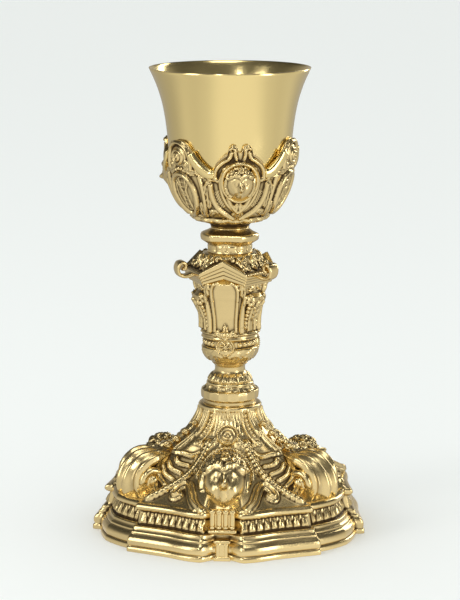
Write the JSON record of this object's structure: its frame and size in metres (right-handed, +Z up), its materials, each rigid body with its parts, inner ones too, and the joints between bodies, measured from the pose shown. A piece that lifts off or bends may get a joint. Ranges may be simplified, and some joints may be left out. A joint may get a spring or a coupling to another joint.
{
  "type": "chalice",
  "caption": "Gilt silver altar chalice: flared cup in a chased calyx, gabled knop on a moulded stem, and a lobed foot with scroll consoles and cherub heads.",
  "frame": {"origin": "on the cup's axis, at the plane that the foot stands on", "axes": "+Z up the axis to the rim, -Y out of the front of the foot, through its bracket and cherub head"},
  "size_m": [0.1536, 0.1535, 0.26],
  "materials": {
    "polished_gilt": "bright pale gilding over silver, polished, with faint turning marks",
    "chased_gilt": "pale gilding over cast and chased silver, worn bright on the ridges and dark brown in the hollows"
  },
  "bodies": {
    "root": {"foot": "chased_gilt", "spool": "chased_gilt", "knop": "chased_gilt", "collar": "polished_gilt", "calyx": "chased_gilt", "cup": "polished_gilt"}
  },
  "joints": []
}
